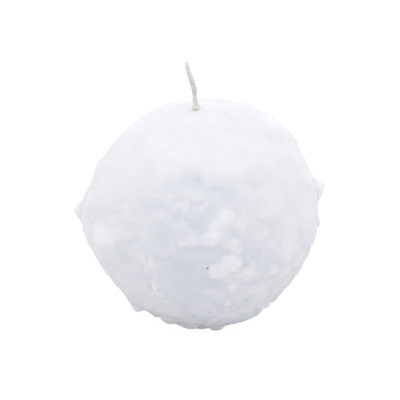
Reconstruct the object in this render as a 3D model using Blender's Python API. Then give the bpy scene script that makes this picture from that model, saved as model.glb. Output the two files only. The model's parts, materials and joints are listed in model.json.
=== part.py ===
"""A snowball candle: a ball of dabbed white wax on a small flat spot, with a bent cotton wick.

The ball is built up from pats of soft wax. Its cap is almost smooth, a rough band of lumps runs
round its middle and underside, two lugs stand out at its sides, and it is cut flat below.
The wick runs up the whole ball in an open channel and leaves it through a shallow dimple.

Metres, +Z up. The origin is the middle of the flat spot, and the front of the ball faces -Y.
"""

import math
import random
from dataclasses import dataclass

import bmesh
import bpy
import numpy as np
from mathutils import Vector, noise

MM = 0.001

# Driving dimensions
BALL_RADIUS = 39.3 * MM
CENTRE_HEIGHT = 36.0 * MM  # of the ball's middle above the flat spot
WICK_RADIUS = 0.75 * MM
WICK_X, WICK_Y = -2.5 * MM, -2.0 * MM  # the channel stands this far off the ball's axis
WICK_END_HEIGHT = 0.6 * MM  # the trimmed lower end stays clear of what the candle stands on
CHANNEL_RADIUS = 1.05 * MM
FOOT_RADIUS = 1.3 * MM  # the strands spread where they leave the wax
MOUTH_RADIUS = 1.75 * MM
MOUTH_DEPTH = 2.2 * MM

# How the surface is worked
SKIN_SUBDIVISIONS = 7
BALL_TRIANGLES = 8600
EDGE_BLEND = 0.6 * MM  # how softly one pat of wax runs into the next
PAT_REACH = 2.4  # a pat's flank is followed down to this many times its half-width
OUTLINE_WOBBLES = ((6.0, 0.020), (13.0, 0.018), (29.0, 0.011))  # frequency, share of the ball's radius
WOBBLE_SEED = 2
LOW_RELIEF = ((3.0, 0.30 * MM), (7.0, 0.26 * MM), (17.0, 0.12 * MM))  # frequency, height
FLAKES = ((7.0, 0.45 * MM), (14.0, 0.21 * MM))  # frequency, height
SMOOTH_CAP_FROM, ROUGH_BAND_FROM = 46.0, 22.0  # degrees of elevation
CAP_ROUGHNESS = 0.28

WAX_COLOUR = (0.86, 0.88, 0.92, 1.0)
WICK_COLOUR = (0.66, 0.63, 0.57, 1.0)


@dataclass(frozen=True)
class Swell:
    """A broad, soft rise (or, below zero, a flattening) of the whole ball."""

    bearing: float  # degrees round the ball, 0 at the front (-Y) and 90 at the right (+X)
    elevation: float  # degrees above the ball's middle
    spread: float  # degrees
    rise: float  # mm


@dataclass(frozen=True)
class Pat:
    """One pat of wax pressed on the ball, an oval with a wobbly outline."""

    bearing: float
    elevation: float
    half_width: float  # mm
    half_height: float  # mm
    rise: float  # mm above what it was pressed on
    turn: float = 0.0  # degrees, counter-clockwise as seen from outside
    edge: float = 2.6  # 2 is a soft dome, 5 a flat pat with a steep edge
    droop: float = 0.0  # above 0 it is thicker at its lower edge


@dataclass(frozen=True)
class Hollow:
    """A dent, groove or pore in the wax."""

    bearing: float
    elevation: float
    half_width: float  # mm
    half_height: float  # mm
    depth: float  # mm
    turn: float = 0.0


SWELLS = (
    Swell(116, 54, 23, 1.6),  # the full right shoulder
    Swell(97, 28, 8, -1.9),
    Swell(-105, 39, 12.0, -4.9),  # the flatter left shoulder
    Swell(-97, 26, 8, 1.15),
    Swell(-100, 28, 4.5, 1.0),  # and the corner below it
    Swell(-130, 64, 18, 0.75),
    Swell(178, 69, 14, -2.1),  # the cap dips behind the wick
    Swell(8, 84, 14, -0.85),
    Swell(-81, -4, 10, 0.85),  # the left lug stands on a broad root
    Swell(-88, 3.0, 5.2, 4.0),
    Swell(-89, 6.6, 2.8, 0.8),
    Swell(-70, -31, 15, -1.5),  # a long flat side below it
    Swell(-30, -58, 24, -1.5),
    Swell(64, -38, 26, -1.9),  # the right side tucks in below
    Swell(77, -20, 17, -0.8),
    Swell(60, -43, 8, -0.8),
    Swell(-48, -53, 7, -1.1),
    Swell(44, -54, 10, 0.7),
    Swell(20, -60, 20, -0.5),
    Swell(91, 11, 6, 0.9),
    Swell(86, 2, 4, -0.6),
    Swell(-9, -9, 15, -0.9),  # the bald hollow at the front
    Swell(-59, 2, 8.0, 1.0),  # soft bulges at the left, under the lug
    Swell(-45, 5, 6, 0.45),
    Swell(-44, -8, 6, 0.3),
    Swell(-58, -14, 7, 0.35),
    Swell(-57, -45, 5, 0.95),
    Swell(-73, -24, 12, 0.4),
    Swell(-92, 14, 5, -0.9),
    Swell(-146, 69, 8, 0.25),
    Swell(68, -35, 6, 0.55),
    Swell(101, 36, 6, 0.8),
    Swell(170, 20, 34, 0.8),
    Swell(-140, -10, 24, -0.6),
    Swell(150, -40, 26, -1.2),
)

LUGS = (
    Pat(-84, 3.6, 6.4, 5.4, 0.5, 12, 2.0),
    Pat(91, 14.2, 4.8, 4.0, 2.15, -8, 2.0),
    Pat(92, 14.4, 2.4, 2.0, 1.2, 0, 2.0),
    Pat(85.5, -0.8, 1.6, 1.6, 1.2, 0, 2.2),
)

FRONT_PATS = (
    # the smooth cap, laid over the front in broad sheets with thick lower edges
    Pat(-8, 58, 15.0, 9.0, 0.30, 0, 3.0, 0.9),
    Pat(24, 49, 10.0, 8.0, 0.30, -24, 3.0, 0.9),
    Pat(-38, 40, 12.0, 9.5, 0.30, 14, 3.0, 0.7),
    Pat(46, 30, 9.5, 7.5, 0.30, -10, 3.0, 0.7),
    Pat(63, 12, 6.6, 9.0, 0.45, -6, 2.2),
    Pat(36, 21.5, 6.4, 3.2, 0.25, -14, 2.4, 0.5),
    # the chain of lumps that slants down from the right of the middle
    Pat(17.0, 17.4, 2.8, 1.6, 0.2, 0, 2.8, 0.2),
    Pat(8.8, 17.3, 3.3, 2.7, 0.42, 0, 3.4, 0.1),
    Pat(11.2, 20.6, 2.8, 2.4, 0.36, 0, 3.2, 0.1),
    Pat(4.2, 11.8, 3.1, 2.8, 0.55, 20, 3.4, 0.3),
    # the lumpy band left of the middle, with a ridge as its lower border
    Pat(-22.5, 19.8, 3.2, 2.2, 0.3, 28, 2.6, 0.2),
    Pat(-2.7, 30.8, 2.1, 1.8, 0.3, 0, 2.6, 0.2),
    Pat(-1.6, 25.9, 2.2, 1.4, 0.15),
    Pat(-11.4, 26.4, 2.8, 2.0, 0.25),
    Pat(-10.7, 17.5, 1.8, 1.5, 0.2),
    Pat(-28.6, 11, 3.4, 2.4, 0.3, 12, 2.4, 0.2),
    Pat(-8.5, 9.0, 4.4, 2.3, 0.34, 6, 2.8, 0.4),
    Pat(-2.5, 10.6, 3.0, 2.0, 0.34, 10, 2.8, 0.4),
    Pat(-16.5, 5.2, 3.4, 2.0, 0.4, 22, 3.0, 0.4),
    Pat(-24, 3.5, 3.6, 2.4, 0.35, 26, 2.8, 0.3),
    Pat(-32.6, -0.7, 3.0, 2.4, 0.3, 0, 2.4, 0.2),
    Pat(-24.8, -3.6, 1.6, 2.6, 0.25, 0, 2.6),
    Pat(-23.4, -9.5, 1.2, 2.4, 0.2, -6, 2.6),
    # the broad bulge under the left lug, which overhangs a little
    Pat(-52, 3.5, 11.0, 3.9, 0.55, 24, 3.4, 0.7),
    # the ridge that edges the bald hollow on its left
    Pat(-24.9, -16.4, 1.0, 2.4, 0.5, -3, 3.0),
    Pat(-23.8, -22.6, 1.2, 1.9, 0.3, 30, 2.8),
    Pat(-34, -17, 3.6, 4.0, 0.35, 0, 2.4),
    # crisp lumps right of the bald hollow
    Pat(7.2, -5.0, 3.2, 2.7, 0.52, 0, 3.4, 0.2),
    Pat(13.6, -1.4, 3.5, 3.1, 0.6, 12, 3.8, 0.1),
    Pat(14.1, 7.8, 1.9, 1.8, 0.3),
    Pat(16.6, 4.9, 1.9, 1.6, 0.3),
    Pat(23.3, -8.0, 3.4, 2.0, 0.22, -4, 2.8, 0.3),
    Pat(36, -10, 2.2, 2.0, 0.5, 12, 2.8),
    Pat(27.8, -20, 3.6, 2.0, 0.45, -4, 2.8, 0.4),
    Pat(14.7, -15.7, 1.9, 2.1, 0.6),
    Pat(13.2, -25.5, 1.1, 2.0, 0.5),
    Pat(9.0, -21, 1.5, 3.0, 0.25),
    Pat(30, -28, 3.8, 2.6, 0.5, -12, 2.8, 0.4),
    Pat(29.5, 10.3, 2.9, 1.4, 0.35),
    Pat(34.3, 3.8, 1.8, 1.4, 0.4, 0, 2.8, 0.3),
    Pat(45, -0.5, 4.0, 5.4, 0.5, -6, 2.4, 0.2),
    Pat(44, -14, 3.8, 2.8, 0.35, 12, 2.8, 0.3),
    Pat(58, -12, 4.4, 3.4, 0.5, -8, 2.6, 0.3),
    # the ragged fringe over the underside
    Pat(-57, -46, 3.0, 2.0, 1.2, 12, 3.2, 0.5),
    Pat(-29, -50, 3.2, 2.2, 1.0, 8, 3.2, 0.6),
    Pat(-14, -56, 3.8, 2.4, 1.2, 0, 3.2, 0.6),
    Pat(0, -60, 3.6, 2.4, 1.0, 0, 3.2, 0.6),
    Pat(15, -59, 3.2, 2.2, 1.3, -6, 3.2, 0.6),
    Pat(37, -49, 3.0, 2.2, 0.6, -8, 3.2, 0.6),
    Pat(47, -40, 3.0, 2.0, 0.9, -14, 3.2, 0.5),
)

HOLLOWS = (
    Hollow(-52, -55, 4.4, 2.8, 2.8),
    Hollow(33, -59, 3.0, 2.0, 0.5),
    Hollow(-7.5, 40.3, 3.6, 3.0, 0.5),  # recesses under the lower edge of the cap
    Hollow(-3.2, 38.3, 1.5, 2.4, 0.25),
    Hollow(10.5, 33.2, 5.0, 2.6, 0.35, -6),
    Hollow(-1.6, 27.6, 1.8, 0.6, 0.15),
    Hollow(-13.2, 20.3, 3.6, 1.9, 0.2, -8),
    Hollow(-1.6, 18, 2.6, 3.4, 0.22),
    Hollow(5.6, 24.9, 2.6, 2.0, 0.2, 20),
    Hollow(14.2, 13.0, 2.6, 1.8, 0.15),
    Hollow(-64, 9.5, 5.4, 3.0, 0.4, 10),
    Hollow(-48, -7.5, 7.5, 3.2, 0.45, 22),
    Hollow(29, 16.8, 3.8, 1.2, 0.2, -12),
    Hollow(38, 13.4, 3.4, 1.2, 0.12, -14),
    Hollow(54, 4, 1.1, 3.4, 0.3, -8),
    Hollow(23.4, -14, 3.6, 0.9, 0.3, -2),
    Hollow(33.5, -14.2, 1.4, 0.8, 0.35),
    Hollow(4.8, -13.0, 2.6, 2.2, 0.35),
    Hollow(21, -4.2, 2.0, 0.7, 0.2),
    Hollow(25, -27, 2.4, 1.6, 0.3),
    Hollow(-177, 72, 2.4, 5.0, 0.8),  # a valley in the cap behind the wick
    Hollow(103, 60, 1.6, 6.0, 0.45, 30),
    Hollow(41, 69, 3.4, 2.0, 0.2),
    Hollow(-58, 48, 3.6, 2.4, 0.25),
    Hollow(41, 38, 3.6, 1.6, 0.25),
    Hollow(-14, 52, 2.0, 1.2, 0.2),
)

BALD_PLACES = (
    Hollow(-9, -8, 8.5, 9.5, 0.85),
    Hollow(-24, 14, 9.0, 9.0, 0.5),
    Hollow(-43, -2, 9.0, 9.0, 0.7),
    Hollow(6, 17, 11.0, 9.0, 0.4),
    Hollow(4, 36, 12.0, 8.0, 0.6),
    Hollow(38, 2, 9.0, 9.0, 0.5),
    Hollow(62, -24, 9.0, 8.0, 0.6),
    Hollow(-86, 3, 8.0, 7.0, 0.6),
    Hollow(-72, 24, 17.0, 14.0, 0.8),
    Hollow(-100, 27, 11.0, 11.0, 0.85),
    Hollow(-62, -8, 11.0, 9.0, 0.5),
    Hollow(66, 12, 7.0, 9.0, 0.7),
    Hollow(44, 22, 11.0, 8.0, 0.7),
    Hollow(-45, -34, 12.0, 6.0, 0.5),
    Hollow(128, -12, 9.0, 7.0, 0.6),
    Hollow(172, -22, 11.0, 8.0, 0.65),
    Hollow(148, 20, 8.0, 7.0, 0.5),
    Hollow(-128, 8, 8.0, 9.0, 0.6),
)

# Pats on the sides and back, where only their size and spacing are set
FILL_PATS = 230
FILL_SEED = 11
HAND_LAID_BEARING, HAND_LAID_BEARING_ABOVE = 66.0, 84.0  # degrees off the front, below and above the middle
HAND_LAID_ELEVATIONS = (-64.0, 74.0)
BARE_TOP_FROM = 83.0  # degrees of elevation
FILL_HALF_WIDTHS = (2.4, 6.4)  # mm
FILL_RISES = (0.32, 0.90)  # mm
FILL_HOLLOW_SHARE = 0.2
GOLDEN_ANGLE = 137.508


def clear_scene() -> None:
    """Removes whatever the open file holds."""
    for item in list(bpy.data.objects):
        bpy.data.objects.remove(item, do_unlink=True)


def new_collection(name: str) -> bpy.types.Collection:
    """Links and returns an empty collection."""
    collection = bpy.data.collections.new(name)
    bpy.context.scene.collection.children.link(collection)
    return collection


def new_material(name: str, colour: tuple, roughness: float) -> bpy.types.Material:
    """Returns a plain Principled material."""
    material = bpy.data.materials.new(name)
    material.use_nodes = True
    material.diffuse_color = colour
    shader = material.node_tree.nodes["Principled BSDF"]
    shader.inputs["Base Color"].default_value = colour
    shader.inputs["Roughness"].default_value = roughness
    shader.inputs["Metallic"].default_value = 0.0
    return material


def add_object(name: str, mesh: bpy.types.Mesh, collection: bpy.types.Collection) -> bpy.types.Object:
    """Puts a mesh in a collection as a new object."""
    item = bpy.data.objects.new(name, mesh)
    collection.objects.link(item)
    return item


def towards(bearing: float, elevation: float) -> np.ndarray:
    """Returns the unit direction at a bearing and an elevation in degrees."""
    b, e = math.radians(bearing), math.radians(elevation)
    return np.array((math.sin(b) * math.cos(e), -math.cos(b) * math.cos(e), math.sin(e)))


def oval_places(directions: np.ndarray, mark: Pat | Hollow) -> tuple:
    """Returns each direction's distance from an oval's middle, where 1 is its outline, and its
    place between the oval's lower edge (-1) and its upper edge (1)."""
    out = towards(mark.bearing, mark.elevation)
    right = towards(mark.bearing + 90.0, 0.0)
    up = np.cross(out, right)
    across, along = directions @ right, directions @ up
    turn = math.radians(mark.turn)
    radius = BALL_RADIUS / MM
    x = (across * math.cos(turn) + along * math.sin(turn)) * radius / mark.half_width
    y = (along * math.cos(turn) - across * math.sin(turn)) * radius / mark.half_height
    distance = np.sqrt(x * x + y * y)
    distance[directions @ out < 0.5] = np.inf
    return distance, y


def press_on(relief: np.ndarray, directions: np.ndarray, pat: Pat, share: float = 1.0) -> None:
    """Presses one pat on the relief, seated on the mean height of what it covers."""
    distance, y = oval_places(directions, pat)
    near = distance < PAT_REACH
    q, lean = distance[near], 1.0 - pat.droop * np.clip(y[near], -1.0, 1.0)
    seat = relief[distance < 1.0].mean()
    height = seat + share * pat.rise * MM * lean * (1.0 - q**pat.edge)
    below = relief[near]
    mix = np.clip(0.5 + 0.5 * (height - below) / EDGE_BLEND, 0.0, 1.0)
    relief[near] = below + (height - below) * mix + EDGE_BLEND * mix * (1.0 - mix) * 0.5


def press_in(relief: np.ndarray, directions: np.ndarray, hollow: Hollow, share: float = 1.0) -> None:
    """Sinks one hollow into the relief."""
    distance, _ = oval_places(directions, hollow)
    relief -= share * hollow.depth * MM * np.exp(-(distance**2) * 1.2)


def roughness_at(elevation: float) -> float:
    """Returns how rough the wax is at an elevation: the cap is smooth, and the band below is rough."""
    t = (elevation - ROUGH_BAND_FROM) / (SMOOTH_CAP_FROM - ROUGH_BAND_FROM)
    t = min(max(t, 0.0), 1.0)
    return 1.0 + (CAP_ROUGHNESS - 1.0) * t * t * (3.0 - 2.0 * t)


def is_hand_laid(bearing: float, elevation: float) -> bool:
    """Tells whether the hand-laid pats cover a place, or it is the bare top."""
    low, high = HAND_LAID_ELEVATIONS
    limit = HAND_LAID_BEARING_ABOVE if elevation > 8.0 else HAND_LAID_BEARING
    return abs(bearing) < limit and low < elevation < high or elevation > BARE_TOP_FROM


def fill_marks() -> list:
    """Returns the pats and hollows of the sides, back and underside, with their shares of height.

    They follow a golden spiral, so that they are evenly spread, and each is moved a little.
    """
    draw = random.Random(FILL_SEED)
    marks = []
    for i in range(FILL_PATS):
        elevation = math.degrees(math.asin(1.0 - 2.0 * (i + 0.5) / FILL_PATS)) + draw.uniform(-5, 5)
        bearing = (i * GOLDEN_ANGLE + draw.uniform(-8, 8) + 180.0) % 360.0 - 180.0
        half_width = draw.uniform(*FILL_HALF_WIDTHS)
        half_height = half_width * draw.uniform(0.5, 0.9)
        rise = draw.uniform(*FILL_RISES) * min(1.0, half_width / 3.6)
        turn, droop, edge = draw.uniform(-35, 35), draw.uniform(0.0, 0.7), draw.uniform(2.2, 3.6)
        hollow = draw.random() < FILL_HOLLOW_SHARE
        if is_hand_laid(bearing, elevation):
            continue
        share = float(roughness_of(towards(bearing, elevation)[None, :])[0])
        if hollow:
            mark = Hollow(bearing, elevation, half_width, half_height, rise * 0.6, turn)
        else:
            spread = 1.0 + 0.9 * (1.0 - share)
            mark = Pat(bearing, elevation, half_width * spread, half_height * spread, rise, turn, edge, droop)
        marks.append((mark, share))
    return marks


def wobbled(directions: np.ndarray) -> np.ndarray:
    """Returns the directions, each moved a little, which makes the outlines of the pats ragged."""
    noise.seed_set(WOBBLE_SEED)
    moved = directions.copy()
    for frequency, amount in OUTLINE_WOBBLES:
        shifts = [noise.noise_vector(Vector(d) * frequency) for d in directions]
        moved += amount * np.array(shifts)
    return moved / np.linalg.norm(moved, axis=1)[:, None]


def roughness_of(directions: np.ndarray) -> np.ndarray:
    """Returns how rough the wax is along each direction: least on the cap and in the bald places."""
    elevations = np.degrees(np.arcsin(np.clip(directions[:, 2], -1.0, 1.0)))
    rough = np.array([roughness_at(e) for e in elevations])
    for bald in BALD_PLACES:
        distance, _ = oval_places(directions, bald)
        rough *= 1.0 - bald.depth * np.exp(-(distance**4))
    return rough


def low_relief(directions: np.ndarray) -> np.ndarray:
    """Returns the soft unevenness of the wax, in metres."""
    height = np.zeros(len(directions))
    for frequency, amount in LOW_RELIEF:
        height += amount * np.array([noise.noise(Vector(d) * frequency) for d in directions])
    return height


def flakes(directions: np.ndarray, frequency: float) -> np.ndarray:
    """Returns the height, about -1 to 1, of a skin of small tilted flakes that run into each other."""
    heights = np.empty(len(directions))
    for i, direction in enumerate(directions):
        place = Vector(direction) * frequency
        distances, seeds = noise.voronoi(place)
        total = weight = 0.0
        for distance, seed in zip(distances, seeds):
            near = math.exp(-14.0 * (distance - distances[0]))
            own = noise.cell_vector(seed * 61.7)
            tilt = Vector((own[1] - 0.5, own[2] - 0.5, own[0] - 0.2))
            total += near * (own[0] - 0.5 + 1.3 * tilt.dot(place - seed) - 0.5 * distance * distance)
            weight += near
        heights[i] = total / weight
    return heights


def wax_relief(directions: np.ndarray) -> np.ndarray:
    """Returns how far the wax stands outside the ball's radius along each unit direction."""
    relief = np.zeros(len(directions))
    for swell in SWELLS:
        turned = np.degrees(np.arccos(np.clip(directions @ towards(swell.bearing, swell.elevation), -1, 1)))
        relief += swell.rise * MM * np.exp(-((turned / swell.spread) ** 2))
    ragged = wobbled(directions)
    for mark, share in fill_marks():
        if isinstance(mark, Pat):
            press_on(relief, ragged, mark, share)
        else:
            press_in(relief, ragged, mark, share)
    rough = roughness_of(ragged)
    for frequency, height in FLAKES:
        relief += height * rough * flakes(ragged, frequency)
    for pat in LUGS + FRONT_PATS:
        press_on(relief, ragged, pat)
    for hollow in HOLLOWS:
        press_in(relief, ragged, hollow)
    return relief + low_relief(directions) * (0.4 + 0.6 * rough)


def make_wax_ball(parts: bpy.types.Collection, cutters: bpy.types.Collection) -> None:
    """Makes the ball: sculpted, thinned, cut flat below and bored for the wick."""
    mesh = bpy.data.meshes.new("wax_ball")
    skin = bmesh.new()
    bmesh.ops.create_icosphere(skin, subdivisions=SKIN_SUBDIVISIONS, radius=1.0)
    directions = np.array([v.co for v in skin.verts])
    directions /= np.linalg.norm(directions, axis=1)[:, None]
    radii = BALL_RADIUS + wax_relief(directions)
    for vertex, direction, radius in zip(skin.verts, directions, radii):
        vertex.co = Vector(direction * radius) + Vector((0.0, 0.0, CENTRE_HEIGHT))
    skin.to_mesh(mesh)
    skin.free()
    ball = add_object("wax_ball", mesh, parts)
    ball.data.materials.append(new_material("wax", WAX_COLOUR, 0.5))
    thin = ball.modifiers.new("thin", "DECIMATE")
    thin.ratio = BALL_TRIANGLES / len(mesh.polygons)
    for cutter in (below_cutter(cutters), channel_cutter(cutters)):
        cut = ball.modifiers.new(cutter.name, "BOOLEAN")
        cut.operation = "DIFFERENCE"
        cut.solver = "EXACT"
        cut.object = cutter
    mesh.shade_smooth()


def hide_cutter(item: bpy.types.Object) -> bpy.types.Object:
    """Marks an object as a cutter, which isn't part of the model."""
    item.hide_render = True
    item.display_type = "WIRE"
    return item


def below_cutter(cutters: bpy.types.Collection) -> bpy.types.Object:
    """Returns the block whose top is the plane of the flat spot."""
    size = 3.0 * BALL_RADIUS
    block = bmesh.new()
    bmesh.ops.create_cube(block, size=size)
    bmesh.ops.translate(block, verts=block.verts, vec=(0.0, 0.0, -size / 2))
    mesh = bpy.data.meshes.new("flat_spot")
    block.to_mesh(mesh)
    block.free()
    return hide_cutter(add_object("flat_spot", mesh, cutters))


def channel_cutter(cutters: bpy.types.Collection) -> bpy.types.Object:
    """Returns the wick's channel: a round bore with a flared mouth in the cap."""
    mouth_top = CENTRE_HEIGHT + BALL_RADIUS + 1.2 * MM
    mouth_low = mouth_top - MOUTH_DEPTH - 1.8 * MM
    outline = (
        (0.0, mouth_top),
        (MOUTH_RADIUS, mouth_top),
        (MOUTH_RADIUS, mouth_low + MOUTH_DEPTH),
        (CHANNEL_RADIUS, mouth_low),
        (CHANNEL_RADIUS, -2.0 * MM),
        (0.0, -2.0 * MM),
    )
    bore = bmesh.new()
    corners = [bore.verts.new((x, 0.0, z)) for x, z in outline]
    edges = [bore.edges.new(pair) for pair in zip(corners, corners[1:])]
    turn = {"cent": (0, 0, 0), "axis": (0, 0, 1), "angle": 2 * math.pi, "steps": 20}
    bmesh.ops.spin(bore, geom=corners + edges, use_merge=True, **turn)
    bmesh.ops.remove_doubles(bore, verts=bore.verts, dist=0.00001)
    bmesh.ops.recalc_face_normals(bore, faces=bore.faces)
    bmesh.ops.translate(bore, verts=bore.verts, vec=(WICK_X, WICK_Y, 0.0))
    mesh = bpy.data.meshes.new("wick_channel")
    bore.to_mesh(mesh)
    bore.free()
    return hide_cutter(add_object("wick_channel", mesh, cutters))


def wick_points() -> list:
    """Returns the wick's centre line, as (x, y, z, radius) from its lower end to its tip."""
    top = CENTRE_HEIGHT + 37.6 * MM  # where the wick leaves the wax
    free_end = (
        # sideways from the channel's axis, above the wax, radius as a share of the wick's
        (0.0, -3.0, 1.0),
        (0.0, -1.0, 1.0),
        (0.1, 0.4, 1.15),
        (0.15, 1.4, FOOT_RADIUS / WICK_RADIUS),
        (0.1, 2.5, 1.4),
        (-0.2, 4.2, 1.1),
        (-0.3, 6.0, 1.1),
        (-0.35, 7.6, 1.2),
        (-0.65, 9.0, 1.3),
        (-1.25, 10.8, 1.27),
        (-2.0, 13.0, 1.15),
        (-2.6, 15.2, 1.12),
        (-2.9, 17.0, 0.8),
    )
    points = [(WICK_X, WICK_Y, WICK_END_HEIGHT, WICK_RADIUS)]
    for sideways, above, share in free_end:
        points.append((WICK_X + sideways * MM, WICK_Y, top + above * MM, WICK_RADIUS * share))
    return points


def make_wick(parts: bpy.types.Collection) -> None:
    """Makes the wick: a round tube that is straight in the wax and bends above it."""
    curve = bpy.data.curves.new("wick", "CURVE")
    curve.dimensions = "3D"
    curve.bevel_depth = 1.0
    curve.bevel_resolution = 3
    curve.use_fill_caps = True
    points = wick_points()
    spline = curve.splines.new("POLY")
    spline.points.add(len(points) - 1)
    for point, (x, y, z, radius) in zip(spline.points, points):
        point.co = (x, y, z, 1.0)
        point.radius = radius
    wick = bpy.data.objects.new("wick", curve)
    parts.objects.link(wick)
    curve.materials.append(new_material("cotton", WICK_COLOUR, 0.9))


def main() -> None:
    """Builds the candle."""
    clear_scene()
    parts, cutters = new_collection("snowball_candle"), new_collection("cutters")
    make_wax_ball(parts, cutters)
    make_wick(parts)


main()
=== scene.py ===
"""Looks for the snowball candle: sculpted, softly translucent wax round a braided cotton wick.

Metres, +Z up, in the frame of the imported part. The origin is the middle of the flat spot that the
candle stands on, and the front of the ball faces -Y.
"""

import json
import logging
import math
import random
from collections.abc import Iterator
from dataclasses import dataclass, replace
from enum import Enum
from typing import Any

import bmesh
import bpy
import numpy as np
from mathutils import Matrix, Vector, noise

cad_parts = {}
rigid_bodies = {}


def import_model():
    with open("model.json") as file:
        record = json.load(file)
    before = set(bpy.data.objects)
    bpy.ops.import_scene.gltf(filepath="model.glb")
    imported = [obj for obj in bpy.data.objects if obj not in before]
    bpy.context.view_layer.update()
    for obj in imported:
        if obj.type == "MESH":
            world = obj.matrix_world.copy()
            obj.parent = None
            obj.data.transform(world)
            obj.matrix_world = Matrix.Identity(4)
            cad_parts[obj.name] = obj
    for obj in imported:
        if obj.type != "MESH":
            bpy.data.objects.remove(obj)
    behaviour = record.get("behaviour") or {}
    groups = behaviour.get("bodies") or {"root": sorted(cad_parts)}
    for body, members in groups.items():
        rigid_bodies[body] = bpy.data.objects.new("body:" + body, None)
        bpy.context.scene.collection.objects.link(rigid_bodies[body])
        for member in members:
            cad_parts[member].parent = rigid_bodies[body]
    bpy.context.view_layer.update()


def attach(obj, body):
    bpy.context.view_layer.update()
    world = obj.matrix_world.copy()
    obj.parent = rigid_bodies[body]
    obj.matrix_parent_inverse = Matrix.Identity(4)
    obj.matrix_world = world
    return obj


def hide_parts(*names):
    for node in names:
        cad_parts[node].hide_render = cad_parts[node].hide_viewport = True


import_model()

MM = 0.001
BALL_RADIUS = 39.3 * MM
CENTRE_HEIGHT = 36.0  # mm, of the ball's middle above the flat spot
CENTRE = Vector((0.0, 0.0, CENTRE_HEIGHT * MM))
CAP_TOP = 37.6  # mm above the ball's middle, where the wick leaves the wax
WICK_PLACE = (-2.5, -2.0)  # mm off the ball's axis
BODY = "root"

log = logging.getLogger("snowball_candle")


def add_object(name: str, data: bpy.types.ID) -> bpy.types.Object:
    """Returns a new object in the scene."""
    made = bpy.data.objects.new(name, data)
    bpy.context.scene.collection.objects.link(made)
    return made


# ---- finishes


@dataclass(frozen=True)
class Texture:
    """A soft noise between 0 and 1."""

    scale: float  # waves to the metre
    detail: float  # finer layers
    roughness: float  # how strong those are


@dataclass(frozen=True)
class Wire:
    """A shader value that can be added, subtracted and multiplied like a number."""

    graph: "Graph"  # where new Math nodes go
    socket: bpy.types.NodeSocket  # the output that holds the value

    def __add__(self, other: Any) -> "Wire":
        """Returns self + other."""
        return self.graph.maths("ADD", self, other)

    def __sub__(self, other: Any) -> "Wire":
        """Returns self - other."""
        return self.graph.maths("SUBTRACT", self, other)

    def __mul__(self, other: Any) -> "Wire":
        """Returns self * other."""
        return self.graph.maths("MULTIPLY", self, other)

    def clamped(self) -> "Wire":
        """Returns self kept between 0 and 1."""
        return self.graph.maths("MAXIMUM", self.graph.maths("MINIMUM", self, 1.0), 0.0)


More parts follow.
